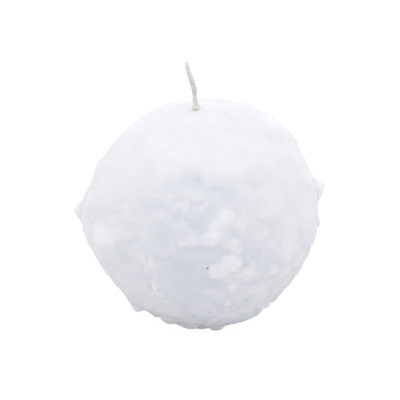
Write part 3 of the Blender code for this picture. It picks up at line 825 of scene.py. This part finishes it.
@dataclass
class WaxBall:
    """The ball of dabbed wax, with its lugs, crumbs, pores and flat spot."""

    finish: WaxFinish = WaxFinish()
    skin_cells: int = 119  # cuts across each of the six faces that the skin is folded from
    fine_cuts: int = 2  # more in each cell round the pores and the wick
    pore_fine_reach: float = 1.1  # mm
    # the pats and hollows of the sides, back and underside
    fill: Scatter = Scatter(230, 11, (2.4, 6.4), (0.5, 0.9), (0.32, 0.90), 35.0, (8.0, 5.0))
    fill_edges: tuple = (2.2, 3.6)
    fill_droop: float = 0.7  # at most
    fill_full_rise_from: float = 3.6  # mm of half-width; a smaller pat rises less
    fill_widening: float = 0.9  # of a pat on smooth wax, as a share of its width
    fill_hollow_share: float = 0.2
    fill_hollow_depth: float = 0.6  # as a share of a pat's rise
    # the front, which the fill leaves out
    front_bearings: tuple = (66.0, 84.0)  # below and above the elevation at which it widens
    front_widens_at: float = 8.0
    front_elevations: tuple = (-64.0, 74.0)
    bare_top_from: float = 83.0
    # the crumbs that are scattered over the rough places
    crumbs: Scatter = Scatter(900, 23, (0.75, 1.7), (0.55, 0.95), (0.08, 0.24), 40.0, (6.0, 4.0))
    crumb_edges: tuple = (2.2, 3.2)
    crumbs_from: float = 0.45  # the roughness below which there are none
    # the ends of the wick's channel
    mouth_radius: float = 1.9  # mm, as are the next five
    mouth_depth: float = 0.25
    mouth_fine_reach: float = 3.4
    foot_radius: float = 1.15
    foot_depth: float = 1.5
    foot_fine_reach: float = 2.4
    # how frosted the wax looks, with painted light on its lumps and painted shade in its dents
    even_frost: float = 0.52
    lump_frost_and_shading: float = 0.14  # more on a lump that stands proud, partly painted light, and less in a dent, which is painted shade
    lump_height: float = 0.42 * MM  # at which a lump has all of that
    smooth_lump_and_dent_share: float = 0.25  # the share of it that is left on smooth wax
    most_frost: float = 1.2
    smoothing_passes: int = 26
    smoothing_share: float = 0.7  # that each point takes from its neighbours

    def build(self) -> None:
        """Sculpts the ball."""
        skin = self._skin()
        directions = np.array([v.co for v in skin.verts])
        relief, rough = self._relief(directions)
        places = directions * (BALL_RADIUS + relief)[:, None]
        for vertex, place in zip(skin.verts, places):
            vertex.co = place
        self._flatten(skin)
        frost_and_shading = self._frost_and_shading(skin, directions, relief, rough)
        bmesh.ops.translate(skin, verts=skin.verts, vec=CENTRE)
        mesh = bpy.data.meshes.new("wax_body")
        skin.to_mesh(mesh)
        skin.free()
        mesh.shade_smooth()
        layer = mesh.attributes.new("frost_and_shading", "FLOAT", "POINT")
        layer.data.foreach_set("value", frost_and_shading.astype(np.float32))
        ball = add_object("wax_body", mesh)
        mesh.materials.append(self.finish.build(self._placed_pore_shades(directions, places)))
        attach(ball, BODY)
        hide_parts("wax_ball")
        log.info("wax_body: %d faces", len(mesh.polygons))

    def _skin(self) -> bmesh.types.BMesh:
        """Folds an even skin of unit directions, with finer cells round the pores and the wick.

        Returns:
            The skin, as a mesh round the origin.
        """
        skin = bmesh.new()
        bmesh.ops.create_cube(skin, size=2.0)
        bmesh.ops.subdivide_edges(skin, edges=skin.edges, cuts=self.skin_cells, use_grid_fill=True)
        for vertex in skin.verts:
            vertex.co = Vector([math.tan(c * math.pi / 4.0) for c in vertex.co]).normalized()
        ends = ((CAP_TOP, self.mouth_fine_reach), (-CENTRE_HEIGHT, self.foot_fine_reach))
        fine = [(Vector((*WICK_PLACE, height)).normalized(), reach) for height, reach in ends]
        fine += [(Vector(towards(p.bearing, p.elevation)), self.pore_fine_reach) for p in PORES]
        for centre, reach in fine:
            limit = math.cos(reach * MM / BALL_RADIUS)
            near = [e for e in skin.edges if min(v.co.dot(centre) for v in e.verts) > limit]
            bmesh.ops.subdivide_edges(skin, edges=near, cuts=self.fine_cuts, use_grid_fill=True)
        for vertex in skin.verts:
            vertex.co = vertex.co.normalized()
        return skin

    def _relief(self, directions: np.ndarray) -> tuple[np.ndarray, np.ndarray]:
        """Works the wax.

        Args:
            directions: unit directions, one a row.

        Returns:
            How far the wax stands outside the ball's radius along each direction, in metres, and how
            rough it is there.
        """
        relief = np.zeros(len(directions))
        for swell in SWELLS:
            swell.lay(relief, directions)
        ragged = self._wobbled(directions)
        for mark, share in self._fill_marks():
            mark.lay(relief, ragged, share)
        rough = self._roughness_of(ragged)
        relief += rough * (Gauge.BROAD.heights(ragged) + Gauge.FINE.heights(ragged))
        for mark in LUGS + FRONT_PATS + HOLLOWS:
            mark.lay(relief, ragged)
        relief += rough * Gauge.CRUMBLY.heights(ragged)
        self._crumble(relief, ragged, rough)
        for pore in PORES:
            pore.lay(relief, directions)
        low_share = SMOOTH_LOW_RELIEF + (1.0 - SMOOTH_LOW_RELIEF) * rough
        return relief + self._low_relief(directions) * low_share, rough

    def _crumble(self, relief: np.ndarray, directions: np.ndarray, rough: np.ndarray) -> None:
        """Scatters small crumbs of wax over the rough places, in place."""
        draw = random.Random(self.crumbs.seed)
        for pat in self.crumbs.pats(draw):
            crumb = replace(pat, edge=draw.uniform(*self.crumb_edges))
            nearest = int(np.argmax(directions @ towards(crumb.bearing, crumb.elevation)))
            share = rough[nearest]
            if share > self.crumbs_from:
                crumb.lay(relief, directions, share)

    def _flatten(self, skin: bmesh.types.BMesh) -> None:
        """Flattens the wax that would pass below the flat spot, and opens both ends round the wick."""
        low = -CENTRE.z
        x, y = (c * MM for c in WICK_PLACE)
        for vertex in skin.verts:
            if vertex.co.z < low:
                vertex.co *= low / vertex.co.z
            off = math.hypot(vertex.co.x - x, vertex.co.y - y) / MM
            if vertex.co.z < 0.0:
                vertex.co.z += self.foot_depth * MM * math.exp(-((off / self.foot_radius) ** 4))
            else:
                vertex.co.z -= self.mouth_depth * MM * math.exp(-((off / self.mouth_radius) ** 4))

    def _frost_and_shading(
        self, skin: bmesh.types.BMesh, directions: np.ndarray, relief: np.ndarray, rough: np.ndarray
    ) -> np.ndarray:
        """Finds how white the wax is, with its painted light and shade.

        Args:
            skin: the sculpted skin.
            directions: the unit direction of each of its points.
            relief: how far each point stands outside the ball's radius.
            rough: how rough the wax is at each point.

        Returns:
            Each point's whiteness, about 0 to 1: lumps are frosted and whiter, partly as painted light,
            and dents and recesses are greyer, as painted shade and clearer wax.
        """
        proud = np.clip((relief - self._smoothed(skin, relief)) / self.lump_height, -1.0, 1.0)
        share = self.smooth_lump_and_dent_share + (1.0 - self.smooth_lump_and_dent_share) * rough
        frost_and_shading = self.even_frost + self.lump_frost_and_shading * proud * share
        for tone in TONES:
            tone.lay(frost_and_shading, directions)
        return np.clip(frost_and_shading, 0.0, self.most_frost)

    def _smoothed(self, skin: bmesh.types.BMesh, relief: np.ndarray) -> np.ndarray:
        """Returns the mean height of each point's surroundings."""
        skin.verts.index_update()
        ends = np.array([(e.verts[0].index, e.verts[1].index) for e in skin.edges])
        count = np.bincount(ends.ravel(), minlength=len(relief))
        soft = relief.copy()
        for _ in range(self.smoothing_passes):
            total = sum(np.bincount(ends[:, i], soft[ends[:, 1 - i]], len(soft)) for i in (0, 1))
            soft = (1.0 - self.smoothing_share) * soft + self.smoothing_share * total / count
        return soft

    def _wobbled(self, directions: np.ndarray) -> np.ndarray:
        """Returns the directions, each moved a little, which makes the outlines of the pats ragged."""
        noise.seed_set(WOBBLE_SEED)
        moved = directions.copy()
        for frequency, amount in OUTLINE_WOBBLES:
            moved += amount * np.array([noise.noise_vector(Vector(d) * frequency) for d in directions])
        return moved / np.linalg.norm(moved, axis=1)[:, None]

    def _low_relief(self, directions: np.ndarray) -> np.ndarray:
        """Returns the soft unevenness of the wax, in metres."""
        height = np.zeros(len(directions))
        for frequency, amount in LOW_RELIEF:
            height += amount * np.array([noise.noise(Vector(d) * frequency) for d in directions])
        return height

    def _roughness_of(self, directions: np.ndarray) -> np.ndarray:
        """Returns how rough the wax is along each direction: least on the cap and in the bald places."""
        elevations = np.degrees(np.arcsin(np.clip(directions[:, 2], -1.0, 1.0)))
        t = np.clip((elevations - ROUGH_BAND_FROM) / (SMOOTH_CAP_FROM - ROUGH_BAND_FROM), 0.0, 1.0)
        rough = 1.0 + (CAP_ROUGHNESS - 1.0) * t * t * (3.0 - 2.0 * t)
        for bald in BALD_PLACES:
            bald.lay(rough, directions)
        return rough

    def _is_hand_laid(self, bearing: float, elevation: float) -> bool:
        """Tells whether the listed pats cover a place, or it is the bare top."""
        low, high = self.front_elevations
        limit = self.front_bearings[elevation > self.front_widens_at]
        return abs(bearing) < limit and low < elevation < high or elevation > self.bare_top_from

    def _fill_marks(self) -> list[tuple[Mark, float]]:
        """Lays out the pats and hollows of the sides, back and underside.

        Returns:
            The marks, each with its share of its full height.
        """
        draw = random.Random(self.fill.seed)
        marks: list[tuple[Mark, float]] = []
        for pat in self.fill.pats(draw):
            droop, edge = draw.uniform(0.0, self.fill_droop), draw.uniform(*self.fill_edges)
            is_hollow = draw.random() < self.fill_hollow_share
            if self._is_hand_laid(pat.bearing, pat.elevation):
                continue
            share = float(self._roughness_of(towards(pat.bearing, pat.elevation)[None, :])[0])
            rise = pat.rise * min(1.0, pat.half_width / self.fill_full_rise_from)
            oval = (pat.bearing, pat.elevation, pat.half_width, pat.half_height)
            if is_hollow:
                marks.append((Hollow(*oval, rise * self.fill_hollow_depth, pat.turn), share))
                continue
            wide = 1.0 + self.fill_widening * (1.0 - share)
            oval = (*oval[:2], pat.half_width * wide, pat.half_height * wide)
            marks.append((Pat(*oval, rise, pat.turn, edge, droop), share))
        return marks

    @staticmethod
    def _placed_pore_shades(directions: np.ndarray, places: np.ndarray) -> list[tuple[Vector, Pore]]:
        """Returns the pores that have painted shade round them, each with its place on the surface."""
        placed = []
        for pore in PORES:
            if pore.shade_across:
                nearest = int(np.argmax(directions @ towards(pore.bearing, pore.elevation)))
                placed.append((Vector(places[nearest]) + CENTRE, pore))
        return placed


# ---- the wick


class Lay(Enum):
    """The two ways that a braid's strands wind."""

    RIGHT = 1
    LEFT = -1


@dataclass
class Wick:
    """The braided cotton wick: straight in the wax, spread where it leaves it, bent above."""

    # the heights between which the cotton's colours run
    foot_height: float = CENTRE.z + 37.2 * MM
    tip_height: float = CENTRE.z + 54.6 * MM
    end_height: float = 0.6 * MM  # of the trimmed lower end
    strands_each_way: int = 4
    strand_radius: float = 0.25 * MM
    braid_radius: float = 0.43 * MM
    core_share: float = 0.95  # of the braid's radius that the core fills
    weave: float = 0.08 * MM  # how far a strand goes over and under
    pitch: float = 5.0 * MM
    points_to_pitch: int = 28
    smoothing_passes: int = 8
    free_end: tuple = (
        # sideways from the channel's axis and above the wax, in mm, and thickness as a share
        (0.0, -3.0, 1.0),
        (0.0, -1.2, 0.75),
        (0.0, -0.2, 0.30),
        (0.1, 0.7, 1.15),
        (0.15, 1.5, 2.15),
        (0.1, 2.5, 1.55),
        (-0.2, 4.2, 1.10),
        (-0.3, 6.0, 1.12),
        (-0.35, 7.6, 1.25),
        (-0.65, 9.0, 1.38),
        (-1.25, 10.8, 1.32),
        (-2.0, 13.0, 1.18),
        (-2.6, 15.2, 1.15),
        (-2.85, 16.3, 0.95),
        (-2.9, 17.1, 0.60),
    )

    def build(self) -> None:
        """Braids the wick."""
        line = self._line()
        curve = bpy.data.curves.new("wick_strands", "CURVE")
        curve.dimensions = "3D"
        curve.bevel_depth = 1.0
        curve.bevel_resolution = 1
        curve.use_fill_caps = True
        for lay in Lay:
            for number in range(self.strands_each_way):
                self._add_strand(curve, self._strand(line, lay, number))
        core_radius = self.core_share * self.braid_radius
        self._add_strand(curve, [(*place, core_radius * share) for place, share, _ in line])
        rolled = add_object("wick_strands", curve)
        bpy.context.view_layer.update()
        solid = rolled.evaluated_get(bpy.context.evaluated_depsgraph_get())
        mesh = bpy.data.meshes.new_from_object(solid)
        bpy.data.objects.remove(rolled)
        mesh.name = "wick_braid"
        mesh.shade_smooth()
        mesh.materials.clear()
        mesh.materials.append(CottonFinish(self.tip_height, self.foot_height).build())
        wick = add_object("wick_braid", mesh)
        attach(wick, BODY)
        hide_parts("wick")
        log.info("wick_braid: %d faces", len(mesh.polygons))

    def _line(self) -> list[tuple[Vector, float, float]]:
        """Follows the wick from its trimmed end to its tip.

        Returns:
            Evenly spaced points of the centre line, each with the wick's thickness there as a share and
            the length of wick below it.
        """
        x, y = (c * MM for c in WICK_PLACE)
        top = CENTRE.z + CAP_TOP * MM
        knots = [(x, self.end_height, 1.0)]
        knots += [(x + side * MM, top + above * MM, share) for side, above, share in self.free_end]
        xs, zs, shares = (np.array(column) for column in zip(*knots))
        run = np.concatenate(((0.0,), np.cumsum(np.hypot(np.diff(xs), np.diff(zs)))))
        count = int(run[-1] / self.pitch * self.points_to_pitch)
        even = np.linspace(0.0, run[-1], count)
        rows = [np.interp(even, run, column) for column in (xs, zs, shares)]
        for _ in range(self.smoothing_passes):
            for row in rows:
                row[1:-1] = 0.25 * row[:-2] + 0.5 * row[1:-1] + 0.25 * row[2:]
        return [
            (Vector((across, y, up)), float(share), float(length))
            for across, up, share, length in zip(*rows, even)
        ]

    def _strand(self, line: list[tuple[Vector, float, float]], lay: Lay, number: int) -> list[tuple]:
        """Winds one strand round the centre line, over and under those that wind the other way.

        Args:
            line: the centre line.
            lay: which way the strand winds.
            number: which of its fellows it is.

        Returns:
            The strand's points, as (x, y, z, radius).
        """
        points = []
        last = len(line) - 1
        for i, (place, share, length) in enumerate(line):
            ahead = (line[min(i + 1, last)][0] - line[max(i - 1, 0)][0]).normalized()
            depth = Vector((0.0, 1.0, 0.0))
            side = depth.cross(ahead)
            turned = 2.0 * math.pi * length / self.pitch
            angle = lay.value * turned + 2.0 * math.pi * number / self.strands_each_way
            over = lay.value * self.weave * math.cos(self.strands_each_way * turned)
            out = (self.braid_radius + over) * share
            point = place + out * (math.cos(angle) * side + math.sin(angle) * depth)
            points.append((*point, self.strand_radius * share))
        return points

    @staticmethod
    def _add_strand(curve: bpy.types.Curve, points: list[tuple]) -> None:
        """Adds one strand to the curve."""
        spline = curve.splines.new("POLY")
        spline.points.add(len(points) - 1)
        for point, (x, y, z, radius) in zip(spline.points, points):
            point.co = (x, y, z, 1.0)
            point.radius = radius


# ---- the studio


@dataclass
class Studio:
    """A white, lit floor with a duller card under it, soft light from all round, and the camera."""

    floor_radius: float = 4.0
    floor_sides: int = 96
    floor_colour: tuple = (0.10, 0.10, 0.10)
    floor_glow: float = 0.95
    card_colour: tuple = (0.74, 0.745, 0.755)
    card_drop: float = 0.05 * MM
    horizon_colour: tuple = (1.257, 1.248, 1.237)
    camera_side_colour: tuple = (1.08, 1.07, 1.065)
    camera_side_band: tuple = (-0.95, -0.35)  # between which the walls turn from the camera's side
    zenith_colour: tuple = (0.852, 0.852, 0.85)
    horizon_band: tuple = (0.10, 0.45)  # sines of the elevations between which the sky fades
    key_strength: float = 0.80
    key_colour: tuple = (1.0, 0.99, 0.97)
    key_angle: float = 70.0  # degrees across
    key_tilt: tuple = (-8.0, 3.0)  # degrees, to the front and to the side
    lens: float = 145.73
    distance: float = 0.550
    camera_elevation: float = 22.0
    picture_size: float = 400.0
    aim_offset: tuple = (-3.0, 15.0)  # in the picture's parts, from its middle to the ball
    sensor: float = 36.0
    clip: tuple = (0.01, 50.0)

    def build(self) -> None:
        """Lays the floor, hangs the lights and sets the camera up."""
        self._floor()
        self._sky()
        self._key()
        self._camera()
        bpy.context.scene.view_settings.view_transform = "Standard"
        log.info("studio: floor, sky, key light and camera")

    def _floor(self) -> None:
        """Lays the white floor that is seen, and under it the duller card that lights the ball."""
        floor = self._disc("floor", -0.5 * self.card_drop, self.floor_colour, self.floor_glow)
        floor.visible_diffuse = floor.visible_glossy = floor.visible_transmission = False
        floor.visible_shadow = False
        card = self._disc("bounce_card", -self.card_drop, self.card_colour, 0.0)
        card.visible_camera = False

    def _disc(self, name: str, height: float, colour: tuple, glow: float) -> bpy.types.Object:
        """Lays one round sheet.

        Args:
            name: the sheet's name.
            height: its height, in metres.
            colour: its colour.
            glow: how much white light it gives off.

        Returns:
            The sheet.
        """
        disc = bmesh.new()
        bmesh.ops.create_circle(disc, cap_ends=True, segments=self.floor_sides, radius=self.floor_radius)
        bmesh.ops.translate(disc, verts=disc.verts, vec=(0.0, 0.0, height))
        mesh = bpy.data.meshes.new(name)
        disc.to_mesh(mesh)
        disc.free()
        material = bpy.data.materials.new(name)
        matt = {"Base Color": colour, "Roughness": 0.9, "Specular IOR Level": 0.0}
        lit = {"Emission Color": (1.0, 1.0, 1.0), "Emission Strength": glow}
        Graph(material).dress("Principled BSDF", matt | lit)
        mesh.materials.append(material)
        sheet = add_object(name, mesh)
        return sheet

    def _sky(self) -> None:
        """Lights the whole room softly, most from its pale walls."""
        world = bpy.data.worlds.new("room")
        graph = Graph(world)
        generated = graph.out(graph.node("ShaderNodeTexCoord"), "Generated")
        parts = graph.node("ShaderNodeSeparateXYZ", None, {"Vector": generated})
        fade = graph.spread(graph.out(parts, "Z"), self.horizon_band)
        behind = graph.spread(graph.out(parts, "Y"), self.camera_side_band)
        walls = graph.mix(behind, self.camera_side_colour, self.horizon_colour)
        graph.dress("Background", {"Color": graph.mix(fade, walls, self.zenith_colour), "Strength": 1.0})
        bpy.context.scene.world = world

    def _key(self) -> None:
        """Hangs a broad soft light overhead, a little to the front."""
        light = bpy.data.lights.new("key", "SUN")
        light.energy = self.key_strength
        light.color = self.key_colour
        light.angle = math.radians(self.key_angle)
        add_object("key", light).rotation_euler = (*(math.radians(tilt) for tilt in self.key_tilt), 0.0)

    def _camera(self) -> None:
        """Points the camera down at the ball."""
        tilt = math.radians(self.camera_elevation)
        back = Vector((0.0, -math.cos(tilt), math.sin(tilt)))
        right = Vector((1.0, 0.0, 0.0))
        up = back.cross(right)
        focal = self.lens / self.sensor * self.picture_size
        across, down = (offset * self.distance / focal for offset in self.aim_offset)
        data = bpy.data.cameras.new("camera")
        data.sensor_width = self.sensor
        data.lens = self.lens
        data.clip_start, data.clip_end = self.clip
        camera = add_object("camera", data)
        camera.location = CENTRE + across * right + down * up + back * self.distance
        camera.rotation_euler = (-back).to_track_quat("-Z", "Y").to_euler()
        bpy.context.scene.camera = camera


def main() -> None:
    """Builds the candle and the studio round it."""
    logging.basicConfig(level=logging.INFO, format="%(name)s: %(message)s")
    WaxBall().build()
    Wick().build()
    Studio().build()


if __name__ == "__main__":
    main()
